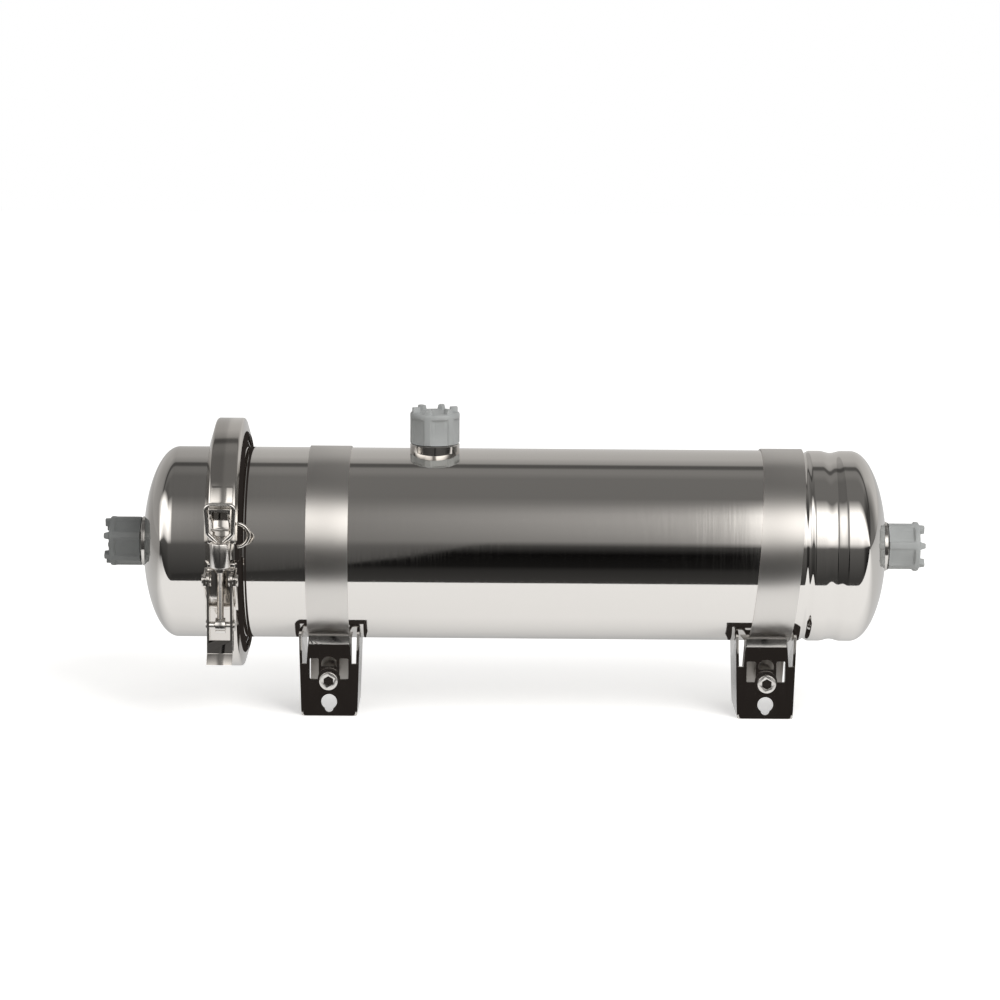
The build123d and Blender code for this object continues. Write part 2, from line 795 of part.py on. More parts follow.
inlet_turn, outlet_turn, flush_turn = cap_turns
parts = {
    "barrel": barrel(),
    "lid": lid(),
    "lid_gasket": lid_gasket(),
    "clamp_band": clamp_band(),
    "latch_base": latch_base(),
    "latch_catch": latch_catch(),
    "latch_lever": latch_lever(),
    "pivot_rivets": pivot_rivets(),
    "rod_pin": rod_pin(),
    "draw_rod": draw_rod(),
    "adjusting_sleeve": adjusting_sleeve(),
    "locknut": locknut(),
    "draw_link": draw_link(),
    "seal_loop": seal_loop(),
    "inlet_port": end_port(-1),
    "outlet_port": end_port(1),
    "flush_port": flush_port(),
    "inlet_cap": on_end(thread_cap(inlet_turn), -1),
    "outlet_cap": on_end(thread_cap(outlet_turn), 1),
    "flush_cap": on_flush(thread_cap(flush_turn)),
    "inlet_cap_washer": on_end(cap_washer(), -1),
    "outlet_cap_washer": on_end(cap_washer(), 1),
    "flush_cap_washer": on_flush(cap_washer()),
    "cartridge_tube": cartridge_tube(),
    "inlet_potting": potting_plug(-1),
    "outlet_potting": potting_plug(1),
    "fibre_bundle": fibre_bundle(),
    "inlet_cup": inlet_cup(),
    "collector_cup": collector_cup(),
    "nozzle_seal": nozzle_seal(),
    "cartridge_carrier": cartridge_carrier(),
}

for name, x, tilt in zip(("left", "right"), foot_xs, strap_tilts):
    parts[name + "_strap"] = strap(x, tilt)
    parts[name + "_foot"] = foot(x, tilt)
    parts[name + "_foot_bolt"] = foot_bolt(x)
    parts[name + "_foot_washers"] = foot_washers(x)
    parts[name + "_foot_nut"] = foot_nut(x)
    parts[name + "_foot_spacer"] = foot_spacer(x)
    parts[name + "_ear_packing"] = ear_packing(x)

os.makedirs("parts", exist_ok=True)
for name, shape in parts.items():
    export_step(shape, f"parts/{name}.step")
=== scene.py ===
"""Looks of a polished stainless steel ultrafiltration module on two strap feet.

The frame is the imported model: metres, +X along the tube, the latch on the -Y side, +Z up.
Pieces are modelled in millimetres in that same frame and turned to metres as they are placed.
"""
import logging
import math
from dataclasses import dataclass, field
from enum import Enum
from typing import Sequence, Union

import bmesh
import bpy
from mathutils import Matrix, Vector


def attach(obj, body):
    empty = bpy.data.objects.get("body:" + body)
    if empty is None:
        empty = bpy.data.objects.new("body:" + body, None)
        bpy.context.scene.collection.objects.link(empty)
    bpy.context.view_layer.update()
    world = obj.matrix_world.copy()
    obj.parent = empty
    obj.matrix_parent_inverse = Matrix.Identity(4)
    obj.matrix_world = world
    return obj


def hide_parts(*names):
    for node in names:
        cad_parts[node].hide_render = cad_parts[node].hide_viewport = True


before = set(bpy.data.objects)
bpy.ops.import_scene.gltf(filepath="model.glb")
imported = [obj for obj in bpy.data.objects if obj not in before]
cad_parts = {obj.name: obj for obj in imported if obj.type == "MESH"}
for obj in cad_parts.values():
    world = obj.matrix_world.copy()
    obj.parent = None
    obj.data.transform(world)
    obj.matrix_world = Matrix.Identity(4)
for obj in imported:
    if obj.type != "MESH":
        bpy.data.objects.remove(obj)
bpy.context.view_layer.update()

log = logging.getLogger("module_looks")

MM = 0.001
FULL_TURN = 2 * math.pi
ROUND_STEPS = 192
SMALL_STEPS = 64

# Vertices nearer than this are merged, in millimetres: in a spun mesh, and in a copied one
MERGE = 1e-4
COPY_MERGE = 2e-3

# Faces of a copied mesh that turn by less are joined, in degrees
FLAT_TURN = 0.5

# Edges that turn by more are bevelled, in degrees: on a plain bar, on a pressing, and on a rim
BAR_SHARP = 30.0
PRESSED_SHARP = 40.0
RIM_SHARP = 50.0

# Edges that turn by less are shaded smooth, in degrees
SHELL_SMOOTH = 25.0
TURNED_SMOOTH = 35.0
FOLDED_SMOOTH = 40.0
WIRE_SMOOTH = 50.0

# Places of the feet on X, and the lean of the right strap in degrees
FOOT_PLACES = (-98.5, 134.5)
RIGHT_LEAN = 3.7

# A Map Range node's settings in order, and the span in which nearly all of a noise lies
MAP_KEYS = ("From Min", "From Max", "To Min", "To Max")
NOISE_SPAN = (0.3, 0.7)

Outline = list[tuple[float, float]]
Mesh = bmesh.types.BMesh
Tree = bpy.types.NodeTree
Source = Union[bpy.types.Node, bpy.types.NodeSocket]


class Body(Enum):
    """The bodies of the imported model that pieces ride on."""

    HOUSING = "housing"
    LEVER = "lever"
    DRAW_ROD = "draw_rod"
    INLET_CAP = "inlet_cap_body"
    OUTLET_CAP = "outlet_cap_body"
    FLUSH_CAP = "flush_cap_body"


class Slot(Enum):
    """The record's material slots."""

    POLISHED = "polished_steel"
    CLAMP = "clamp_steel"
    PORT = "port_steel"
    STRAP = "satin_strap"
    FOOT = "foot_steel"
    FASTENER = "fastener_steel"
    CAP = "grey_cap"
    RUBBER = "seal_rubber"
    CARTRIDGE = "cartridge_plastic"
    POTTING = "potting_resin"
    FIBRE = "membrane_fibre"


def linear(code: str) -> tuple[float, float, float, float]:
    """Turns an sRGB hex colour to linear light.

    Args:
        code: the colour as #rrggbb.

    Returns:
        Red, green, blue and an alpha of one.
    """
    shares = [int(code[i : i + 2], 16) / 255 for i in (1, 3, 5)]
    red, green, blue = (s / 12.92 if s <= 0.04045 else ((s + 0.055) / 1.055) ** 2.4 for s in shares)
    return (red, green, blue, 1.0)


def add_node(tree: Tree, kind: str, settings: dict = {}, links: dict = {}) -> bpy.types.Node:
    """Adds one shader node.

    Args:
        tree: the node tree that gets it.
        kind: the node's type name, after the word ShaderNode.
        settings: values for the node's own properties or its input sockets.
        links: for an input, the socket that drives it, or a node whose first output does.

    Returns:
        The new node.
    """
    node = tree.nodes.new("ShaderNode" + kind)
    own = [key for key in settings if isinstance(key, str) and hasattr(node, key)]
    for key in own:
        setattr(node, key, settings[key])
    for key, value in settings.items():
        if key not in own:
            node.inputs[key].default_value = value
    for key, source in links.items():
        socket = source.outputs[0] if isinstance(source, bpy.types.Node) else source
        tree.links.new(socket, node.inputs[key])
    return node


@dataclass(frozen=True)
class Finish:
    """What every finish shares: a name, a slot, a colour and a Principled surface."""

    name: str
    slot: Slot
    colour: str
    roughness: float

    def build(self) -> bpy.types.Material:
        """Makes the material, once.

        Returns:
            The material, or the one made before.
        """
        found = bpy.data.materials.get(self.name)
        if found:
            return found
        material = bpy.data.materials.new(self.name)
        material.use_nodes = True
        tree = material.node_tree
        shader = tree.nodes["Principled BSDF"]
        shader.inputs["Base Color"].default_value = linear(self.colour)
        shader.inputs["Roughness"].default_value = self.roughness
        self.pattern(tree, shader, add_node(tree, "TexCoord").outputs["Object"])
        return material

    def pattern(self, tree: Tree, shader: bpy.types.Node, place: Source) -> None:
        """Adds what varies over the surface; a plain finish has nothing."""


@dataclass(frozen=True)
class BuffedSteel(Finish):
    """Grade 304 stainless sheet, rolled, welded and buffed round the tube to a mirror."""

    line_mm: float = 0.9
    line_share: float = 0.03
    wave_mm: float = 38.0
    wave_height_mm: float = 0.02
    line_height_mm: float = 0.0002
    along: tuple[float, float, float] = (1.0, 0.03, 0.03)
    anisotropy: float = 0.0
    grain_turn: float = 0.25

    def pattern(self, tree: Tree, shader: bpy.types.Node, place: Source) -> None:
        """A metal with buffing lines that run round the tube, and the slow waves of a rolled sheet.

        Args:
            tree: the material's tree.
            shader: its Principled node.
            place: the Object coordinates.
        """
        shader.inputs["Metallic"].default_value = 1.0
        shader.inputs["Anisotropic"].default_value = self.anisotropy
        scale = [s / (self.line_mm * MM) for s in self.along]
        stretched = add_node(tree, "Mapping", {"Scale": scale}, {"Vector": place})
        noise = {"Scale": 1.0, "Detail": 4.0, "Roughness": 0.6}
        lines = add_node(tree, "TexNoise", noise, {"Vector": stretched})
        span = (*NOISE_SPAN, self.roughness - self.line_share, self.roughness + self.line_share)
        rough = add_node(tree, "MapRange", dict(zip(MAP_KEYS, span)), {"Value": lines})
        tree.links.new(rough.outputs[0], shader.inputs["Roughness"])
        noise = {"Scale": 1 / (self.wave_mm * MM), "Detail": 1.0}
        waves = add_node(tree, "TexNoise", noise, {"Vector": place})
        height = {"Distance": self.wave_height_mm * MM, "Strength": 1.0}
        slow = add_node(tree, "Bump", height, {"Height": waves})
        height = {"Distance": self.line_height_mm * MM, "Strength": 1.0}
        fine = add_node(tree, "Bump", height, {"Height": lines, "Normal": slow})
        tree.links.new(fine.outputs[0], shader.inputs["Normal"])
        if self.anisotropy:
            round_x = add_node(tree, "Tangent", {"direction_type": "RADIAL", "axis": "X"})
            tree.links.new(round_x.outputs[0], shader.inputs["Tangent"])
            shader.inputs["Anisotropic Rotation"].default_value = self.grain_turn


@dataclass(frozen=True)
class MouldedPlastic(Finish):
    """Injection moulded plastic with the fine matt grain of a spark-eroded mould."""

    grain_mm: float = 0.35
    grain_height_mm: float = 0.02
    cloud_mm: float = 9.0
    cloud_share: float = 0.06

    def pattern(self, tree: Tree, shader: bpy.types.Node, place: Source) -> None:
        """The mould's grain as bump, and faint clouds where the plastic flowed.

        Args:
            tree: the material's tree.
            shader: its Principled node.
            place: the Object coordinates.
        """
        noise = {"Scale": 1 / (self.cloud_mm * MM), "Detail": 3.0}
        clouds = add_node(tree, "TexNoise", noise, {"Vector": place})
        span = (*NOISE_SPAN, 1 - self.cloud_share, 1 + self.cloud_share)
        share = add_node(tree, "MapRange", dict(zip(MAP_KEYS, span)), {"Value": clouds})
        colour = {"operation": "SCALE", 0: linear(self.colour)[:3]}
        tinted = add_node(tree, "VectorMath", colour, {"Scale": share})
        tree.links.new(tinted.outputs[0], shader.inputs["Base Color"])
        noise = {"Scale": 1 / (self.grain_mm * MM), "Detail": 2.0}
        grain = add_node(tree, "TexNoise", noise, {"Vector": place})
        height = {"Distance": self.grain_height_mm * MM, "Strength": 1.0}
        bump = add_node(tree, "Bump", height, {"Height": grain})
        tree.links.new(bump.outputs[0], shader.inputs["Normal"])


@dataclass(frozen=True)
class FibreFinish(Finish):
    """White hollow fibres, packed side by side along the tube."""

    fibre_mm: float = 1.2
    groove_height_mm: float = 0.5
    drawn_out: float = 0.02

    def pattern(self, tree: Tree, shader: bpy.types.Node, place: Source) -> None:
        """Round cells across the bundle, drawn out along X into fibres.

        Args:
            tree: the material's tree.
            shader: its Principled node.
            place: the Object coordinates.
        """
        flat = add_node(tree, "Mapping", {"Scale": (self.drawn_out, 1.0, 1.0)}, {"Vector": place})
        cells = add_node(tree, "TexVoronoi", {"Scale": 1 / (self.fibre_mm * MM)}, {"Vector": flat})
        height = {"Distance": self.groove_height_mm * MM, "Strength": 1.0, "invert": True}
        bump = add_node(tree, "Bump", height, {"Height": cells})
        tree.links.new(bump.outputs[0], shader.inputs["Normal"])


class Finishes:
    """Every finish on the module, named for the real material."""

    # Buffed 304 sheet: a mirror that is faintly warm where it shows white
    barrel = BuffedSteel("buffed_304_tube", Slot.POLISHED, "#e2dfdb", 0.05)
    # Buffed 304 pressing, with a shorter wave from the press
    clamp = BuffedSteel("buffed_304_pressing", Slot.CLAMP, "#dcd8d3", 0.09, wave_mm=16.0)
    # Turned 316 bar with the tool's rings left in
    port = BuffedSteel("turned_316_bar", Slot.PORT, "#d9d6d2", 0.14, line_mm=0.5, line_height_mm=0.004)
    # Cold rolled strip with a satin grain round the tube
    strap = BuffedSteel(
        "satin_304_strip", Slot.STRAP, "#dcd9d5", 0.4,
        line_mm=0.7, line_share=0.015, wave_mm=30.0, anisotropy=0.7,
    )
    # Bright folded sheet, a little duller than the tube
    foot = BuffedSteel("bright_folded_304", Slot.FOOT, "#cfccc8", 0.12, wave_mm=14.0, wave_height_mm=0.03)
    # Cold headed A2 screws and washers
    fastener = BuffedSteel("cold_headed_a2", Slot.FASTENER, "#dedbd7", 0.2, line_mm=0.6, wave_mm=6.0)
    # Moulded polypropylene, matt grey with a cold cast
    cap = MouldedPlastic("moulded_polypropylene_grey", Slot.CAP, "#9a9c9b", 0.42)
    # The same plastic made darker for the inlet: a shaded copy, painted shade
    shaded_cap = MouldedPlastic("moulded_polypropylene_grey_painted_shade", Slot.CAP, "#6d6f6e", 0.42)
    # Moulded EPDM, black and dull
    rubber = MouldedPlastic("moulded_epdm_black", Slot.RUBBER, "#1c1c1d", 0.62, grain_mm=0.5)
    # Moulded ABS, bright white and half glossy
    cartridge = MouldedPlastic("moulded_abs_white", Slot.CARTRIDGE, "#e6e7e8", 0.35, grain_mm=0.8)
    # Cast epoxy, amber
    potting = MouldedPlastic("cast_epoxy_amber", Slot.POTTING, "#d3c49a", 0.25, cloud_mm=5.0)
    # Polyethersulfone hollow fibre, chalky white
    fibre = FibreFinish("hollow_fibre_pes", Slot.FIBRE, "#ecebe6", 0.8)


def ring_of(outline: Outline, steps: int = ROUND_STEPS, start: float = 0.0, angle: float = FULL_TURN) -> Mesh:
    """Spins a closed outline about the X axis.

    Args:
        outline: the places on X and the radii of the section's corners, in millimetres.
        steps: how many steps the spin takes.
        start: where the spin starts, in radians about X from +Z.
        angle: how far it turns; less than a full turn gets two flat ends.

    Returns:
        A closed mesh with its faces outwards.
    """
    whole = angle >= FULL_TURN
    made = bmesh.new()
    corners = [made.verts.new((x, 0.0, radius)) for x, radius in outline]
    edges = [made.edges.new(pair) for pair in zip(corners, corners[1:] + corners[:1])]
    bmesh.ops.rotate(made, verts=corners, cent=(0, 0, 0), matrix=Matrix.Rotation(start, 3, "X"))
    bmesh.ops.spin(
        made, geom=corners + edges, cent=(0, 0, 0), axis=(1, 0, 0), angle=angle, steps=steps,
        use_merge=whole, use_duplicate=False,
    )
    bmesh.ops.remove_doubles(made, verts=made.verts[:], dist=MERGE)
    if not whole:
        bmesh.ops.holes_fill(made, edges=made.edges[:], sides=0)
    return outward(made)


def soften(made: Mesh, width: float, segments: int = 2, above: float = BAR_SHARP) -> None:
    """Bevels every edge that turns by more than an angle.

    Args:
        made: the mesh, changed in place.
        width: the bevel's width in millimetres.
        segments: how many faces the bevel has across.
        above: the least turn at an edge that counts as sharp, in degrees.
    """
    limit = math.radians(above)
    sharp = [e for e in made.edges if len(e.link_faces) == 2 and e.calc_face_angle(0.0) > limit]
    bmesh.ops.bevel(
        made, geom=sharp, offset=width, offset_type="OFFSET", segments=segments, profile=0.5,
        affect="EDGES", clamp_overlap=True, material=-1,
    )


def of_kind(grown: Sequence, kind: type) -> list:
    """The vertices, edges or faces among what an operator gives back."""
    return [item for item in grown if isinstance(item, kind)]


def turned(made: Mesh, matrix: Matrix) -> Mesh:
    """Moves a mesh by a matrix and returns it."""
    bmesh.ops.transform(made, matrix=matrix, verts=made.verts[:])
    return made


def bar_along(radius: float, length: float) -> Mesh:
    """A round bar from the origin up along Z.

    Args:
        radius: its radius in millimetres.
        length: its length.

    Returns:
        The closed bar.
    """
    made = bmesh.new()
    bmesh.ops.create_cone(
        made, cap_ends=True, segments=SMALL_STEPS, radius1=radius, radius2=radius,
        depth=length, matrix=Matrix.Translation((0, 0, length / 2)),
    )
    return made


def copied_node(node: str) -> Mesh:
    """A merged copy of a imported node, in millimetres, for a piece that keeps its form.

    Args:
        node: the node's name.

    Returns:
        The copy, with doubles merged and flat stretches dissolved.
    """
    made = bmesh.new()
    made.from_mesh(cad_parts[node].data)
    bmesh.ops.scale(made, vec=(1 / MM,) * 3, verts=made.verts[:])
    bmesh.ops.remove_doubles(made, verts=made.verts[:], dist=COPY_MERGE)
    bmesh.ops.dissolve_limit(
        made, angle_limit=math.radians(FLAT_TURN), verts=made.verts[:], edges=made.edges[:],
        use_dissolve_boundaries=False,
    )
    return made


def outward(made: Mesh) -> Mesh:
    """Turns a closed mesh's faces outwards and returns it."""
    bmesh.ops.recalc_face_normals(made, faces=made.faces[:])
    return made


def placed(name: str, made: Mesh) -> bpy.types.Object:
    """Turns a mesh in millimetres into an object in metres.

    Args:
        name: the object's name.
        made: its mesh, used up.

    Returns:
        The object, linked to the scene.
    """
    bmesh.ops.scale(made, vec=(MM,) * 3, verts=made.verts[:])
    mesh = bpy.data.meshes.new(name)
    made.to_mesh(mesh)
    made.free()
    item = bpy.data.objects.new(name, mesh)
    bpy.context.scene.collection.objects.link(item)
    return item


def add_piece(
    name: str, made: Mesh, finish: Finish, body: Body, nodes: Sequence[str],
    smooth_below: float = FOLDED_SMOOTH,
) -> bpy.types.Object:
    """Places a piece, dresses it and sets it on its body.

    Args:
        name: the piece's name.
        made: its mesh in millimetres, used up.
        finish: its finish.
        body: the body that it rides on.
        nodes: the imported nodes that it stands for.
        smooth_below: edges that turn by less than this, in degrees, are shaded smooth.

    Returns:
        The placed object.
    """
    piece = placed(name, made)
    mesh = piece.data
    mesh.shade_smooth()
    mesh.set_sharp_from_angle(angle=math.radians(smooth_below))
    mesh.materials.append(finish.build())
    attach(piece, body.value)
    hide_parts(*nodes)
    log.info("%s: %d faces, on %s", name, len(mesh.polygons), body.value)
    return piece


def eased_copy(
    node: str, name: str, finish: Finish, body: Body, edge: float, above: float = PRESSED_SHARP
) -> None:
    """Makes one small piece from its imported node, with eased edges.

    Args:
        node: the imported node.
        name: the piece's name.
        finish: its finish.
        body: the body that it rides on.
        edge: the bevel's width in millimetres.
        above: the least turn at an edge that is eased, in degrees.
    """
    made = copied_node(node)
    soften(made, edge, above=above)
    add_piece(name, made, finish, body, [node])


def cut_away(piece: bpy.types.Object, tool: Mesh) -> None:
    """Cuts a shape out of a placed piece.

    Args:
        piece: the piece, whose mesh is replaced.
        tool: the cutting shape in millimetres, used up.
    """
    cutter = placed("cutter", tool)
    work = piece.modifiers.new("cut", "BOOLEAN")
    work.operation = "DIFFERENCE"
    work.solver = "EXACT"
    work.object = cutter
    bpy.context.view_layer.update()
    graph = bpy.context.evaluated_depsgraph_get()
    result = bpy.data.meshes.new_from_object(piece.evaluated_get(graph))
    piece.modifiers.remove(work)
    old = piece.data
    piece.data = result
    result.name = old.name
    bpy.data.meshes.remove(old)
    bpy.data.meshes.remove(cutter.data)


def dress_node(node: str, finish: Finish) -> None:
    """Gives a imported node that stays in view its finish.

    Args:
        node: the node's name.
        finish: its finish.
    """
    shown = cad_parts[node]
    if not shown.material_slots:
        shown.data.materials.append(None)
    for place in shown.material_slots:
        place.material = finish.build()
    log.info("%s: packed node, dressed", node)


@dataclass
class PressureShell:
    """The welded barrel, the removable lid and the gasket between their flanges."""

    radius: float = 51.0
    wall: float = 1.2
    head_start: float = 179.5
    head_depth: float = 19.0
    port_hole: float = 10.48
    clamp_x: float = -152.0
    gasket: float = 2.0
    flange_radius: float = 61.0
    flange_root: float = 9.52
    flange_rim: float = 6.58
    grooves: tuple[tuple[float, float, float], ...] = ((154.5, 5.6, 1.2), (168.7, 12.0, 1.1))
    groove_points: int = 24
    head_points: int = 48
    flush_x: float = -43.0
    flush_reach: float = 60.0
    flush_span: float = 15.0
    hold: float = 0.3

    def head(self, radius: float, depth: float) -> Outline:
        """The drawn head's quarter ellipse, from the tube to the rim of the port's hole.

        Args:
            radius: the tube's radius, outside or inside.
            depth: how far the head stands out there.

        Returns:
            Its points, from the tube on.
        """
        last = math.acos(self.port_hole / radius)
        turns = [last * i / self.head_points for i in range(self.head_points + 1)]
        return [(self.head_start + depth * math.sin(t), radius * math.cos(t)) for t in turns]

    def line(self, radius: float) -> Outline:
        """The barrel's straight line with its rolled grooves, held straight just beside them.

        Args:
            radius: the tube's radius, outside or inside.

        Returns:
            Its points, up to the head.
        """
        points: Outline = []
        shares = [i / self.groove_points for i in range(self.groove_points + 1)]
        for centre, width, depth in self.grooves:
            points.append((centre - width / 2 - self.hold, radius))
            falls = [depth * (1 - math.cos(FULL_TURN * s)) / 2 for s in shares]
            points += [(centre + width * (s - 0.5), radius - fall) for s, fall in zip(shares, falls)]
            points.append((centre + width / 2 + self.hold, radius))
        return points + [(self.head_start - self.hold, radius)]

    def flange(self, joint: float) -> Outline:
        """The flange's face, rim and sloped back, from the middle of the joint on X."""
        return [
            (joint + self.gasket / 2, self.flange_radius),
            (joint + self.flange_rim, self.flange_radius),
            (joint + self.flange_root, self.radius),
            (joint + self.flange_root + self.hold, self.radius),
        ]

    def barrel_outline(self) -> Outline:
        """The barrel's section: flange, wall, grooves and head.

        Returns:
            Its points, outside then inside.
        """
        bore = self.radius - self.wall
        outside = self.flange(self.clamp_x)
        outside += [(self.flush_x + x, self.radius) for x in (-self.flush_span, self.flush_span)]
        outside += self.line(self.radius) + self.head(self.radius, self.head_depth)
        inside = self.line(bore) + self.head(bore, self.head_depth - self.wall)
        return outside + inside[::-1] + [(outside[0][0], bore)]

    def lid_outline(self) -> Outline:
        """The lid's section, as if it closed the +X end.

        Returns:
            Its points, outside then inside.
        """
        bore = self.radius - self.wall
        outside = self.flange(-self.clamp_x) + [(self.head_start - self.hold, self.radius)]
        outside += self.head(self.radius, self.head_depth)
        return outside + self.head(bore, self.head_depth - self.wall)[::-1] + [(outside[0][0], bore)]

    def build(self) -> None:
        """Makes the barrel and the lid, and dresses the gasket."""
        barrel = ring_of(self.barrel_outline())
        shell = add_piece("barrel_shell", barrel, Finishes.barrel, Body.HOUSING, ["barrel"], SHELL_SMOOTH)
        over = Matrix.Translation((self.flush_x, 0, 0))
        cut_away(shell, turned(bar_along(self.port_hole, self.flush_reach), over))
        lid = outward(turned(ring_of(self.lid_outline()), Matrix.Scale(-1, 4, (1, 0, 0))))
        add_piece("lid_shell", lid, Finishes.barrel, Body.HOUSING, ["lid"], SHELL_SMOOTH)
        dress_node("lid_gasket", Finishes.rubber)


@dataclass
class ClampBand:
    """The sprung V band that holds the lid, and its loop for a seal's wire."""

    clamp_x: float = -152.0
    radius: float = 66.5
    mouth: float = 56.5
    flat: float = 14.0
    sheet: float = 1.5
    slope: float = 0.294
    shoulder: float = 1.0
    shoulder_steps: int = 4
    gap_low: float = 1.0
    gap_high: float = 9.5
    loop_radius: float = 6.0
    loop_wire: float = 1.0
    wire_steps: int = 20
    loop_y: float = -61.5
    loop_z: float = 15.0

    def section(self) -> Outline:
        """The channel's section.

        Returns:
            Its points, from its left foot over the top to its right foot and back inside.
        """
        low, top, floor = self.mouth, self.radius, self.radius - self.sheet
        half = self.flat / 2
        inside = half - self.sheet
        foot = half + (top - low) * self.slope
        foot_inside = inside + (floor - low) * self.slope
        points = [(-foot, low), (-half, top), (half, top), (foot, low)]
        points += [(foot_inside, low), (inside, floor), (-inside, floor), (-foot_inside, low)]
        return [(self.clamp_x + x, radius) for x, radius in points]

    def build(self) -> None:
        """Makes the band and the wire loop."""
        front = math.radians(90)
        low = front - math.radians(self.gap_high)
        travel = FULL_TURN - math.radians(self.gap_high - self.gap_low)
        band = ring_of(self.section(), start=low - travel, angle=travel)
        soften(band, self.shoulder, self.shoulder_steps, PRESSED_SHARP)
        add_piece("clamp_band_channel", band, Finishes.clamp, Body.HOUSING, ["clamp_band"])
        self.build_loop()

    def build_loop(self) -> None:
        """Makes the half ring of wire on the band's side."""
        reach = math.hypot(self.loop_y, self.loop_z)
        side = self.clamp_x + self.flat / 2 + (self.radius - reach) * self.slope
        wire = bmesh.new()
        turn = Matrix.Rotation(math.pi / 2, 4, "Y")
        bmesh.ops.create_circle(wire, segments=self.wire_steps, radius=self.loop_wire, matrix=turn)
        bmesh.ops.translate(wire, verts=wire.verts[:], vec=(0, 0, self.loop_radius))
        bmesh.ops.spin(
            wire, geom=wire.verts[:] + wire.edges[:], cent=(0, 0, 0), axis=(0, 1, 0), angle=math.pi,
            steps=SMALL_STEPS, use_merge=False, use_duplicate=False,
        )
        bmesh.ops.holes_fill(wire, edges=wire.edges[:], sides=0)
        outward(wire)
        bmesh.ops.translate(wire, verts=wire.verts[:], vec=(side, self.loop_y, self.loop_z))
        add_piece("seal_wire_loop", wire, Finishes.clamp, Body.HOUSING, ["seal_loop"], WIRE_SMOOTH)


@dataclass
class ThreadedPort:
    """A half-inch stub with its welded collar; the same turned piece serves all three ports."""

    thread_radius: float = 10.48
    thread_root: float = 9.4
    pitch: float = 1.814
    bore: float = 8.0
    collar_radius: float = 13.2
    collar: float = 3.2
    stub: float = 12.6
    sunk: float = 8.0
    ease: float = 0.5

    def thread(self, start: float, end: float) -> Outline:
        """The thread's crests and roots, drawn as rings a pitch apart.

        Args:
            start: where the thread starts on X.
            end: where the stub ends.

        Returns:
            Its points.
        """
        points: Outline = []
        count = int((end - start) / self.pitch)
        for i in range(count):
            crest = start + self.pitch * i
            points += [(crest, self.thread_radius), (crest + self.pitch / 2, self.thread_root)]
        return points + [(start + self.pitch * count, self.thread_radius), (end, self.thread_root)]

    def outline(self) -> Outline:
        """The section along X, with the wall of the vessel at zero.

        Returns:
            Its points, outside then inside.
        """
        rim = self.collar - self.ease
        outside = [(-self.sunk, self.thread_root), (-self.sunk / 2, self.thread_root)]
        outside += [(-self.sunk / 2, self.collar_radius), (rim, self.collar_radius)]
        outside += [(self.collar, self.collar_radius - self.ease), (self.collar, self.thread_root)]
        outside += self.thread(self.collar + self.ease, self.collar + self.stub)
        return outside + [(self.collar + self.stub, self.bore), (-self.sunk, self.bore)]


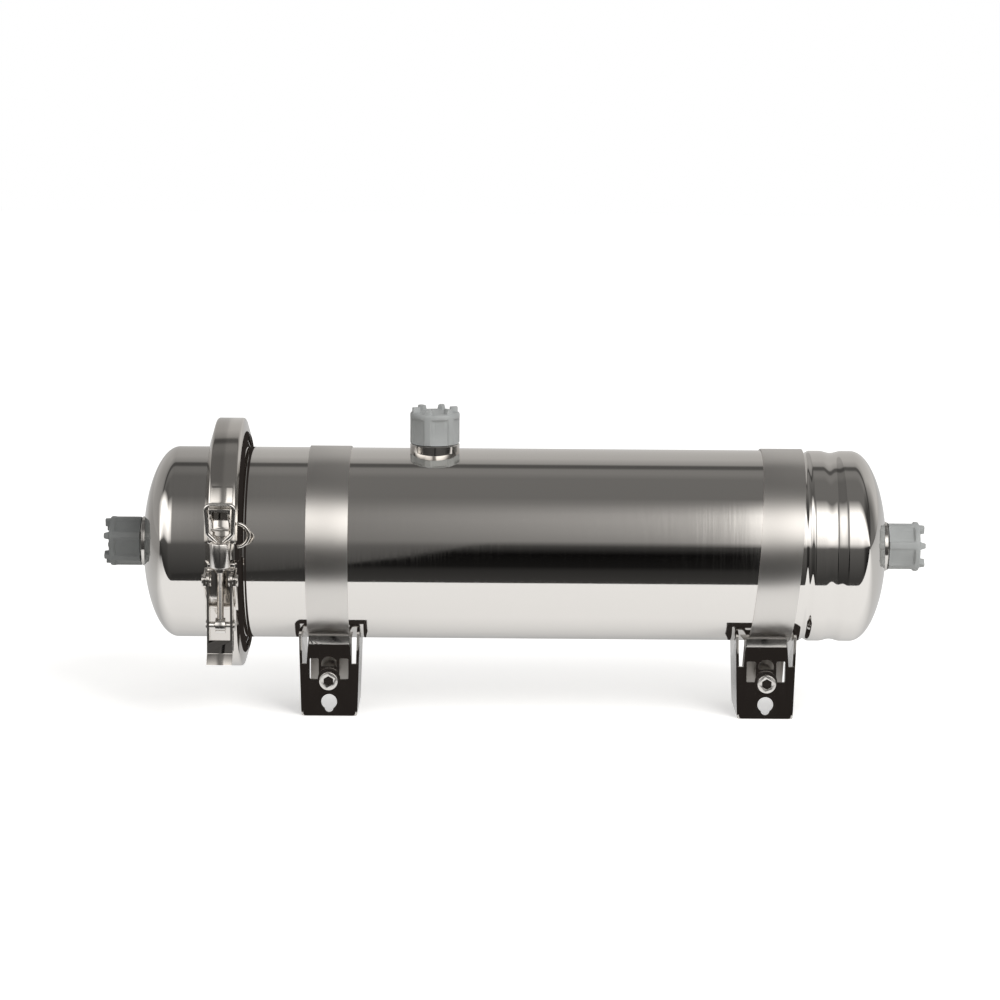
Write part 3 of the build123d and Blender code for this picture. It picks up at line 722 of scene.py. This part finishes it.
@dataclass
class ScrewCap:
    """A moulded cap with grip flutes and a ring of lugs on its end, mouth at zero and end towards +Z."""

    radius: float = 13.2
    length: float = 16.6
    floor: float = 2.4
    bore: float = 10.78
    flutes: int = 6
    flute_width: float = 9.4
    flute_depth: float = 1.4
    flute_rim: float = 2.6
    flute_run: float = 1.0
    rim_round: float = 1.0
    rim_inset: float = 0.3
    lug_outer: float = 12.2
    lug_inner: float = 8.2
    lug_width: float = 3.6
    lug_height: float = 2.7
    lug_taper: float = 0.62
    steps: int = 144
    ease: float = 0.35

    def fluted(self, point: Vector, share: float) -> Vector:
        """Draws a point in where a flute passes.

        Args:
            point: a point on the cap's wall.
            share: how deep the flute is there, from zero to one.

        Returns:
            The point, moved towards the axis.
        """
        period = FULL_TURN / self.flutes
        off = (math.atan2(point.y, point.x) % period) - period / 2
        if abs(off) >= math.asin(self.flute_width / 2 / self.radius):
            return point
        flat = (self.radius - self.flute_depth) / math.cos(off) / self.radius
        scale = 1 - share * (1 - flat)
        return Vector((point.x * scale, point.y * scale, point.z))

    def body(self) -> Mesh:
        """The cap's wall, end, lugs and bore.

        Returns:
            One closed shell.
        """
        made = bmesh.new()
        ring = bmesh.ops.create_circle(made, segments=self.steps, radius=self.bore)["verts"]
        edges = list(dict.fromkeys(e for v in ring for e in v.link_edges))
        path = [
            (self.radius - self.ease, 0.0, 0.0),
            (self.radius, self.ease, 1.0),
            (self.radius, self.length - self.flute_rim - self.flute_run, 1.0),
            (self.radius, self.length - self.flute_rim, 0.0),
            (self.radius, self.length - self.rim_round, 0.0),
            (self.radius - self.rim_inset, self.length - self.rim_inset, 0.0),
            (self.radius - self.rim_round, self.length, 0.0),
            (self.lug_inner, self.length, 0.0),
            (self.lug_inner / 2, self.length, 0.0),
        ]
        end_ring: list[bmesh.types.BMFace] = []
        for radius, height, share in path:
            grown = bmesh.ops.extrude_edge_only(made, edges=edges)["geom"]
            edges = [e for e in of_kind(grown, bmesh.types.BMEdge) if all(v in grown for v in e.verts)]
            faces = of_kind(grown, bmesh.types.BMFace)
            for v in of_kind(grown, bmesh.types.BMVert):
                reach = math.hypot(v.co.x, v.co.y)
                v.co = Vector((v.co.x * radius / reach, v.co.y * radius / reach, height))
                v.co = self.fluted(v.co, share)
            if radius == self.lug_inner:
                end_ring = faces
        bmesh.ops.holes_fill(made, edges=edges, sides=0)
        self.raise_lugs(made, end_ring)
        inner = list(dict.fromkeys(e for v in ring for e in v.link_edges if e.is_boundary))
        grown = bmesh.ops.extrude_edge_only(made, edges=inner)["geom"]
        verts = of_kind(grown, bmesh.types.BMVert)
        bmesh.ops.translate(made, verts=verts, vec=(0, 0, self.length - self.floor))
        roof = [e for e in of_kind(grown, bmesh.types.BMEdge) if e.is_boundary]
        bmesh.ops.holes_fill(made, edges=roof, sides=0)
        return outward(made)

    def raise_lugs(self, made: Mesh, ring: list[bmesh.types.BMFace]) -> None:
        """Extrudes the lugs from the end's flat ring.

        Args:
            made: the cap's mesh.
            ring: the ring's faces.
        """
        period = FULL_TURN / self.flutes
        middle = (self.lug_outer + self.lug_inner) / 2
        half = self.lug_width / 2 / middle

        def from_ridge(point: Vector) -> float:
            """The angle from the nearest ridge between two flutes."""
            return ((math.atan2(point.y, point.x) + period / 2) % period) - period / 2

        chosen = [face for face in ring if abs(from_ridge(face.calc_center_median())) < half]
        grown = bmesh.ops.extrude_face_region(made, geom=chosen)["geom"]
        verts = of_kind(grown, bmesh.types.BMVert)
        bmesh.ops.translate(made, verts=verts, vec=(0, 0, self.lug_height))
        for v in verts:
            spare = from_ridge(v.co) * (self.lug_taper - 1)
            v.co = Matrix.Rotation(spare, 3, "Z") @ v.co
        bmesh.ops.delete(made, geom=chosen, context="FACES")


@dataclass
class Ports:
    """The three capped ports: one through each head and the flush port on top."""

    pole_x: float = 198.5
    shell_radius: float = 51.0
    flush_x: float = -43.0
    flush_collar: float = 3.2
    end_collar: float = 1.2
    cap_gap: float = 0.3
    inlet_turn: float = 24.0
    outlet_turn: float = -12.0
    flush_turn: float = -17.0
    cap: ScrewCap = field(default_factory=ScrewCap)

    def place_set(
        self, name: str, collar: float, seat: Matrix, screwed: float, body: Body,
        finish: Finish = Finishes.cap,
    ) -> None:
        """Makes one port and its cap.

        Args:
            name: inlet, outlet or flush.
            collar: the height of the port's collar.
            seat: moves a piece drawn along +X from the vessel's wall to the port.
            screwed: the angle that the cap is screwed to, in degrees.
            body: the cap's body.
            finish: the cap's finish.
        """
        stub = outward(turned(ring_of(ThreadedPort(collar=collar).outline(), SMALL_STEPS * 2), seat))
        add_piece(name + "_threaded_port", stub, Finishes.port, Body.HOUSING, [name + "_port"], TURNED_SMOOTH)
        ridge = Matrix.Rotation(math.radians(screwed) + math.pi / self.cap.flutes, 4, "Z")
        lifted = Matrix.Translation((collar + self.cap_gap, 0, 0))
        lay = Matrix.Rotation(math.pi / 2, 4, "Y")
        cap = turned(self.cap.body(), seat @ lifted @ lay @ ridge)
        soften(cap, self.cap.ease, above=RIM_SHARP)
        add_piece(name + "_screw_cap", cap, finish, body, [name + "_cap"], TURNED_SMOOTH)
        dress_node(name + "_cap_washer", Finishes.rubber)

    def build(self) -> None:
        """Makes all three sets."""
        right = Matrix.Translation((self.pole_x, 0, 0))
        left = Matrix.Rotation(math.pi, 4, "Z") @ right
        stand = Matrix.Rotation(-math.pi / 2, 4, "Y")
        top = Matrix.Translation((self.flush_x, 0, self.shell_radius)) @ stand
        self.place_set("outlet", self.end_collar, right, self.outlet_turn, Body.OUTLET_CAP)
        # The inlet's cap gets the darker copy of the grey plastic, a painted shade
        self.place_set("inlet", self.end_collar, left, self.inlet_turn, Body.INLET_CAP, Finishes.shaded_cap)
        self.place_set("flush", self.flush_collar, top, self.flush_turn, Body.FLUSH_CAP)


@dataclass
class Latch:
    """The over-centre latch on the front of the clamp band."""

    clamp_x: float = -152.0
    rod_y: float = -72.5
    sleeve_radius: float = 5.3
    sleeve_length: float = 13.0
    sleeve_ease: float = 0.6
    edge: float = 0.22
    rod_edge: float = 0.1
    nut_edge: float = 0.15
    link_edge: float = 0.05

    def build(self) -> None:
        """Makes the base, the catch, the lever, the rod and the link."""
        sheet, screw = Finishes.clamp, Finishes.fastener
        eased_copy("latch_base", "latch_base_ears", sheet, Body.HOUSING, self.edge)
        eased_copy("latch_catch", "latch_catch_hook", sheet, Body.HOUSING, self.edge)
        eased_copy("latch_lever", "latch_lever_folded", sheet, Body.LEVER, self.edge)
        eased_copy("pivot_rivets", "latch_pivot_rivets", screw, Body.HOUSING, self.edge)
        eased_copy("rod_pin", "latch_rod_pin", screw, Body.LEVER, self.edge)
        eased_copy("draw_rod", "latch_draw_rod", screw, Body.DRAW_ROD, self.rod_edge)
        eased_copy("locknut", "latch_locknut", screw, Body.DRAW_ROD, self.nut_edge)
        eased_copy("draw_link", "latch_draw_link", screw, Body.DRAW_ROD, self.link_edge)
        sleeve = bar_along(self.sleeve_radius, self.sleeve_length)
        soften(sleeve, self.sleeve_ease)
        turned(sleeve, Matrix.Translation((self.clamp_x, self.rod_y, 0)))
        add_piece("latch_adjusting_sleeve", sleeve, screw, Body.DRAW_ROD, ["adjusting_sleeve"], TURNED_SMOOTH)


@dataclass
class StrapFoot:
    """One strap round the tube, bolted to its folded foot."""

    name: str
    x: float
    lean: float = 0.0
    shell_radius: float = 51.0
    fit: float = 0.1
    sheet: float = 0.8
    width: float = 22.0
    ear_gap: float = 2.2
    ear_end: float = -76.0
    ear_bend: float = 5.0
    bolt_z: float = -69.4
    edge: float = 0.12
    bend_points: int = 12

    def strap_outline(self) -> Outline:
        """The strap seen along the tube.

        Returns:
            Its points: the outside from ear to ear, then the inside back.
        """
        inner = self.shell_radius + self.fit
        outer = inner + self.sheet
        inside = self.ear_gap / 2
        outside = inside + self.sheet
        bend_y = outside + self.ear_bend
        bend_z = -math.sqrt((outer + self.ear_bend) ** 2 - bend_y**2)
        meet = math.atan2(-bend_z, -bend_y)

        def over(radius: float, begin: float) -> Outline:
            """An arc over the tube, as far down on both sides.

            Args:
                radius: its radius.
                begin: the angle that it starts at, in radians.

            Returns:
                Its points, both ends too.
            """
            sweep = 2 * (math.pi / 2 - begin)
            turns = [begin + sweep * i / ROUND_STEPS for i in range(ROUND_STEPS + 1)]
            return [(radius * math.cos(t), radius * math.sin(t)) for t in turns]

        turns = [math.pi + (meet - math.pi) * i / self.bend_points for i in range(self.bend_points + 1)]
        half = [(bend_y + self.ear_bend * math.cos(t), bend_z + self.ear_bend * math.sin(t)) for t in turns]
        ring_out = over(outer, math.atan2(bend_z, bend_y))[1:-1]
        ring_in = over(inner, math.atan2(-math.sqrt(inner**2 - inside**2), inside))
        other = [(-y, z) for y, z in reversed(half)]
        out, back = [(outside, self.ear_end)], [(inside, self.ear_end)]
        ends = [(-outside, self.ear_end), (-inside, self.ear_end)]
        return out + half + ring_out + other + ends + ring_in[::-1] + back

    def build_strap(self) -> None:
        """Makes the strap, leaning along the tube as it was clamped."""
        made = bmesh.new()
        left = -self.width / 2
        corners = [made.verts.new((left, y, z)) for y, z in self.strap_outline()]
        side = made.faces.new(corners)
        grown = bmesh.ops.extrude_face_region(made, geom=[side])["geom"]
        moved = of_kind(grown, bmesh.types.BMVert)
        bmesh.ops.translate(made, verts=moved, vec=(self.width, 0, 0))
        slope = math.tan(math.radians(self.lean))
        for v in made.verts:
            v.co.x += self.x + (v.co.z - self.bolt_z) * slope
        outward(made)
        soften(made, self.edge, above=RIM_SHARP)
        add_piece(self.name + "_strap_band", made, Finishes.strap, Body.HOUSING, [self.name + "_strap"])

    def build(self) -> None:
        """Makes the strap, the foot and their fasteners."""
        self.build_strap()
        foot = self.name + "_foot"
        eased_copy(foot, foot + "_folded", Finishes.foot, Body.HOUSING, self.edge * 2, RIM_SHARP)
        for kind in ("_foot_bolt", "_foot_washers", "_foot_nut", "_foot_spacer", "_ear_packing"):
            node = self.name + kind
            eased_copy(node, node + "_turned", Finishes.fastener, Body.HOUSING, self.edge * 2)


class Cartridge:
    """The membrane cartridge inside the barrel, which the closed shell hides."""

    def build(self) -> None:
        """Dresses the cartridge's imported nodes."""
        for node in ("cartridge_tube", "inlet_cup", "collector_cup", "cartridge_carrier"):
            dress_node(node, Finishes.cartridge)
        for node in ("inlet_potting", "outlet_potting"):
            dress_node(node, Finishes.potting)
        dress_node("fibre_bundle", Finishes.fibre)
        dress_node("nozzle_seal", Finishes.rubber)


# Light of the room by the angle up from the front, over the back
ROOM_BANDS = (
    (-180.0, 0.62), (-60.0, 0.8), (-40.0, 0.06), (-30.0, 0.055), (-12.0, 0.09), (4.0, 0.12),
    (14.0, 0.17), (60.0, 0.175), (96.0, 0.18), (105.0, 0.235), (112.0, 0.235), (115.5, 0.1),
    (120.5, 0.1), (123.0, 0.34), (136.0, 0.5), (160.0, 0.56), (180.0, 0.62),
)

# The same below the edge of the room's dark opening in front
DARK_BANDS = (
    (-180.0, 0.54), (-120.0, 0.5), (-80.0, 0.07), (-40.0, 0.07), (-34.0, 0.045), (-22.0, 0.03),
    (-17.0, 0.01), (-2.0, 0.004), (2.0, 0.02), (9.0, 0.07), (14.0, 0.17), (180.0, 0.17),
)

# How high that opening reaches, along the tube: 0 is 45 degrees down and 1 is 45 degrees up
DARK_EDGE = (
    (-1.0, 0.1), (-0.12, 0.13), (-0.064, 0.24), (-0.03, 0.42), (-0.012, 0.56), (0.0, 0.66),
    (0.078, 0.66), (0.086, 0.1), (1.0, 0.1),
)

# A soft panel in front, by the angle up and along the tube
PANEL_HEIGHT = (
    (-180.0, 0.0), (7.0, 0.0), (13.0, 0.45), (24.0, 0.75), (38.0, 1.0), (46.0, 0.95),
    (54.0, 0.55), (60.0, 0.22), (67.0, 0.0), (180.0, 0.0),
)
PANEL_WIDTH = (
    (-1.0, 1.8), (-0.5, 1.8), (-0.2, 1.2), (-0.115, 0.3), (-0.085, 0.12), (-0.05, 0.08),
    (0.02, 0.2), (0.05, 0.26), (0.074, 0.48), (0.087, 1.9), (0.6, 2.2), (1.0, 1.6),
)

# How much of the room's own light comes from the sides, from left to right
SIDE_LIGHT = (
    (-1.0, 0.6), (-0.7, 0.6), (-0.4, 0.8), (-0.115, 0.75), (-0.085, 0.78), (-0.075, 1.0),
    (0.7, 1.0), (0.9, 0.3), (1.0, 0.3),
)


@dataclass
class Studio:
    """The floor, the backdrop's light, what the steel reflects, the lamp and the camera."""

    floor_z: float = -90.0
    floor_half: float = 3000.0
    floor_colour: str = "#f2f1ef"
    floor_lift: float = 0.45
    mirror_share: float = 0.65
    mirror_light: tuple[float, float] = (1.1, 0.5)
    mirror_span: tuple[float, float] = (-40.0, 60.0)
    paper_front: float = -150.0
    paper_left: tuple[float, float] = (-800.0, -330.0)
    dark_reflection_colour: str = "#2f2b29"
    flag_top: float = -53.0
    flag_half: float = 18.0
    flag_front: float = -30.0
    flag_back: float = 6.0
    flag_sheet: float = 0.5
    patch_back: float = -24.3
    patch_height: float = 0.6
    band_gap_shade_x: float = -141.4
    band_gap_shade_sheet: float = 0.3
    band_gap_shade_radii: tuple[float, float] = (51.4, 60.0)
    panel_ends: tuple[float, float] = (-0.9, -0.55)
    panel_squeeze: float = 0.45
    opening_blur: float = 1.5
    mirror_tint: tuple[float, float, float] = (1.0, 0.98, 0.955)
    fill: float = 0.62
    lamp_power: float = 22.0
    lamp_size: float = 1.1
    lamp_place: tuple[float, float, float] = (0.9, -1.1, 1.2)
    camera_distance: float = 1.78
    camera_elevation: float = 10.0
    camera_roll: float = 0.42
    aim_x: float = -8.0
    aim_up: float = 23.3
    view_width: float = 537.0
    sensor: float = 36.0

    def plain_material(self, name: str) -> bpy.types.Material:
        """Makes a material without nodes.

        Args:
            name: its name.

        Returns:
            The material.
        """
        material = bpy.data.materials.new(name)
        material.use_nodes = True
        material.node_tree.nodes.clear()
        return material

    def build_floor(self) -> None:
        """A pale paper floor that keeps the shadow and runs to white."""
        made = bmesh.new()
        bmesh.ops.create_grid(made, x_segments=1, y_segments=1, size=self.floor_half)
        bmesh.ops.translate(made, verts=made.verts[:], vec=(0, 0, self.floor_z))
        paper = self.plain_material("studio_paper")
        tree = paper.node_tree
        times = {"operation": "MULTIPLY"}
        matt = add_node(tree, "BsdfDiffuse", {"Color": linear(self.floor_colour)})
        path = add_node(tree, "LightPath").outputs
        lift = add_node(tree, "Math", times | {1: self.floor_lift}, {0: path["Is Camera Ray"]})
        glow = add_node(tree, "Emission", {}, {"Strength": lift})
        lit = add_node(tree, "AddShader", {}, {0: matt, 1: glow})
        place = add_node(tree, "TexCoord").outputs["Object"]
        away = add_node(tree, "SeparateXYZ", {}, {0: place}).outputs
        # To the steel the floor partly glows, a painted reflection: brighter in front and darker behind, a
        # painted shade of the floor under and behind the tube
        span = (*(y * MM for y in self.mirror_span), *self.mirror_light)
        depth = add_node(tree, "MapRange", dict(zip(MAP_KEYS, span)), {"Value": away["Y"]})
        painted_floor_glow = add_node(tree, "Emission", {}, {"Strength": depth})
        share = add_node(tree, "Math", times | {1: self.mirror_share}, {0: path["Is Glossy Ray"]})
        both = add_node(tree, "MixShader", {}, {0: share, 1: lit, 2: painted_floor_glow})
        front = add_node(tree, "Math", {"operation": "LESS_THAN", 1: self.paper_front * MM}, {0: away["Y"]})
        span = (*(x * MM for x in self.paper_left), 1.0, 0.0)
        side = add_node(tree, "MapRange", dict(zip(MAP_KEYS, span)), {"Value": away["X"]})
        far = add_node(tree, "Math", {"operation": "MAXIMUM"}, {0: front, 1: side})
        gone = add_node(tree, "Math", times, {0: far, 1: path["Is Glossy Ray"]})
        clear = add_node(tree, "BsdfTransparent")
        whole = add_node(tree, "MixShader", {}, {0: gone, 1: both, 2: clear})
        add_node(tree, "OutputMaterial", {}, {"Surface": whole})
        floor = placed("paper_floor", made)
        floor.data.materials.append(paper)

    def build_dark_reflections(self) -> None:
        """Black sheets close to the feet and the band, seen only as reflections in the steel: boxes by each
        foot and a thin patch on the floor in front of it paint a dark reflection on the foot, and a ring
        beside the band paints the shade of the gap between band and barrel.
        """
        half, sheet, front = self.flag_half, self.flag_sheet, self.flag_front
        low, tall = self.floor_z, (self.floor_z, self.flag_top)
        boxes = [
            ((-half, half), (front - sheet, front), tall),
            ((-half, half), (front, self.patch_back), (low, low + self.patch_height)),
        ]
        boxes += [((side, side + sheet), (front, self.flag_back), tall) for side in (-half - sheet, half)]
        # A dark ring round the tube beside the band, seen in the band's flank: painted shade of the gap
        # between band and barrel
        inner, outer = self.band_gap_shade_radii
        back = self.band_gap_shade_x + self.band_gap_shade_sheet
        made = ring_of([(self.band_gap_shade_x, inner), (self.band_gap_shade_x, outer), (back, outer), (back, inner)])
        for x in FOOT_PLACES:
            for spans in boxes:
                size = Matrix.Diagonal([high - bottom for bottom, high in spans] + [1.0])
                middle = Matrix.Translation([(high + bottom) / 2 for bottom, high in spans])
                shift = Matrix.Translation((x, 0, 0))
                bmesh.ops.create_cube(made, size=1.0, matrix=shift @ middle @ size)
        cloth = self.plain_material("painted_dark_reflection_cloth")
        tree = cloth.node_tree
        glow = add_node(tree, "Emission", {"Color": linear(self.dark_reflection_colour), "Strength": 1.0})
        add_node(tree, "OutputMaterial", {}, {"Surface": glow})
        dark_reflection_sheets = placed("painted_dark_reflections", made)
        dark_reflection_sheets.data.materials.append(cloth)
        for ray in ("camera", "diffuse", "shadow", "transmission", "volume_scatter"):
            setattr(dark_reflection_sheets, "visible_" + ray, False)

    def graded(self, tree: Tree, value: Source, stops: Sequence[tuple[float, float]]) -> bpy.types.Node:
        """Turns an angle or a direction's share into light, by a list of stops.

        Args:
            tree: the world's tree.
            value: the angle in radians, or a direction's share from -1 to 1.
            stops: places and the light there, from -180 to 180 degrees or from -1 to 1.

        Returns:
            The node that gives the light.
        """
        reach = stops[-1][0]
        span = math.pi if reach > 1 else 1.0
        place = add_node(tree, "MapRange", dict(zip(MAP_KEYS, (-span, span, 0.0, 1.0))), {"Value": value})
        bands = add_node(tree, "ValToRGB", {}, {0: place})
        ramp = bands.color_ramp
        for where, light in stops[1:-1]:
            ramp.elements.new((where / reach + 1) / 2).color = (light, light, light, 1.0)
        ramp.elements[0].color = (stops[0][1],) * 3 + (1.0,)
        ramp.elements[len(stops) - 1].color = (stops[-1][1],) * 3 + (1.0,)
        return bands

    def build_room(self, tree: Tree) -> bpy.types.Node:
        """The colour of what the steel mirrors, by direction.

        Args:
            tree: the world's tree.

        Returns:
            The node that gives the colour.
        """
        way = add_node(tree, "TexCoord").outputs["Generated"]
        apart = add_node(tree, "SeparateXYZ", {}, {0: way}).outputs
        across = apart["X"]
        times = {"operation": "MULTIPLY"}
        front = add_node(tree, "Math", times | {1: -1.0}, {0: apart["Y"]})
        turn = add_node(tree, "Math", {"operation": "ARCTAN2"}, {0: apart["Z"], 1: front})
        room = self.graded(tree, turn, ROOM_BANDS)
        shade = self.graded(tree, turn, DARK_BANDS)
        edge = self.graded(tree, across, DARK_EDGE)
        lower = {"operation": "MULTIPLY_ADD", 1: -math.pi / 2, 2: math.pi / 4}
        lowered = add_node(tree, "Math", lower, {0: edge})
        past = add_node(tree, "Math", {"operation": "ADD"}, {0: turn, 1: lowered})
        blur = math.radians(self.opening_blur)
        inside = add_node(tree, "MapRange", dict(zip(MAP_KEYS, (blur, -blur, 0.0, 1.0))), {"Value": past})
        dimmed = add_node(tree, "Mix", {"data_type": "FLOAT"}, {0: inside, 2: room, 3: shade})
        sides = self.graded(tree, across, SIDE_LIGHT)
        walls = add_node(tree, "Math", times, {0: dimmed, 1: sides})
        span = (*self.panel_ends, self.panel_squeeze, 1.0)
        squeeze = add_node(tree, "MapRange", dict(zip(MAP_KEYS, span)), {"Value": across})
        raised = add_node(tree, "Math", times, {0: turn, 1: squeeze})
        height = self.graded(tree, raised, PANEL_HEIGHT)
        width = self.graded(tree, across, PANEL_WIDTH)
        soft = add_node(tree, "Math", {"operation": "MULTIPLY_ADD"}, {0: height, 1: width, 2: walls})
        tints = [add_node(tree, "Math", times | {1: share}, {0: soft}) for share in self.mirror_tint]
        return add_node(tree, "CombineColor", {}, dict(enumerate(tints)))

    def build_world(self) -> None:
        """White to the camera, a plain fill to matt surfaces, and a studio's panels to the steel."""
        world = bpy.data.worlds.new("studio_room")
        bpy.context.scene.world = world
        world.use_nodes = True
        tree = world.node_tree
        tree.nodes.clear()
        path = add_node(tree, "LightPath").outputs
        rays = {0: path["Is Glossy Ray"], 1: path["Is Transmission Ray"]}
        steel = add_node(tree, "Math", {"operation": "MAXIMUM"}, rays)
        white = {"Color": (1.0, 1.0, 1.0, 1.0)}
        fill = add_node(tree, "Background", white | {"Strength": self.fill})
        mirrored = add_node(tree, "Background", {"Strength": 1.0}, {"Color": self.build_room(tree)})
        paper = add_node(tree, "Background", white | {"Strength": 1.0})
        inner = add_node(tree, "MixShader", {}, {0: steel, 1: fill, 2: mirrored})
        outer = add_node(tree, "MixShader", {}, {0: path["Is Camera Ray"], 1: inner, 2: paper})
        add_node(tree, "OutputWorld", {}, {"Surface": outer})

    def build_lamp(self) -> None:
        """One soft lamp to the right of the camera, for the matt pieces and the shadow."""
        data = bpy.data.lights.new("soft_lamp", "AREA")
        data.shape = "SQUARE"
        data.size = self.lamp_size
        data.energy = self.lamp_power
        lamp = bpy.data.objects.new("soft_lamp", data)
        bpy.context.scene.collection.objects.link(lamp)
        lamp.location = self.lamp_place
        lamp.rotation_euler = (-Vector(self.lamp_place)).to_track_quat("-Z", "Y").to_euler()
        lamp.visible_glossy = False

    def build_camera(self) -> None:
        """A long lens, ten degrees above the tube, square to it."""
        tilt = math.radians(self.camera_elevation)
        back = Vector((0, -math.cos(tilt), math.sin(tilt)))
        up = Vector((0, math.sin(tilt), math.cos(tilt)))
        target = Vector((self.aim_x * MM, 0, 0)) + up * self.aim_up * MM
        data = bpy.data.cameras.new("product_camera")
        data.sensor_width = self.sensor
        data.lens = self.sensor * self.camera_distance / (self.view_width * MM)
        camera = bpy.data.objects.new("product_camera", data)
        bpy.context.scene.collection.objects.link(camera)
        camera.location = target + back * self.camera_distance
        level = (-back).to_track_quat("-Z", "Y").to_matrix().to_4x4()
        roll = Matrix.Rotation(math.radians(self.camera_roll), 4, "Z")
        camera.rotation_euler = (level @ roll).to_euler()
        bpy.context.scene.camera = camera

    def build(self) -> None:
        """Sets up the whole studio."""
        bpy.context.scene.view_settings.view_transform = "Standard"
        self.build_floor()
        self.build_dark_reflections()
        self.build_world()
        self.build_lamp()
        self.build_camera()


def main() -> None:
    """Builds the module's sub-assemblies in order, then the studio."""
    logging.basicConfig(level=logging.INFO, format="%(name)s: %(message)s")
    PressureShell().build()
    ClampBand().build()
    Ports().build()
    Latch().build()
    StrapFoot("left", FOOT_PLACES[0]).build()
    StrapFoot("right", FOOT_PLACES[1], RIGHT_LEAN).build()
    Cartridge().build()
    Studio().build()


if __name__ == "__main__":
    main()
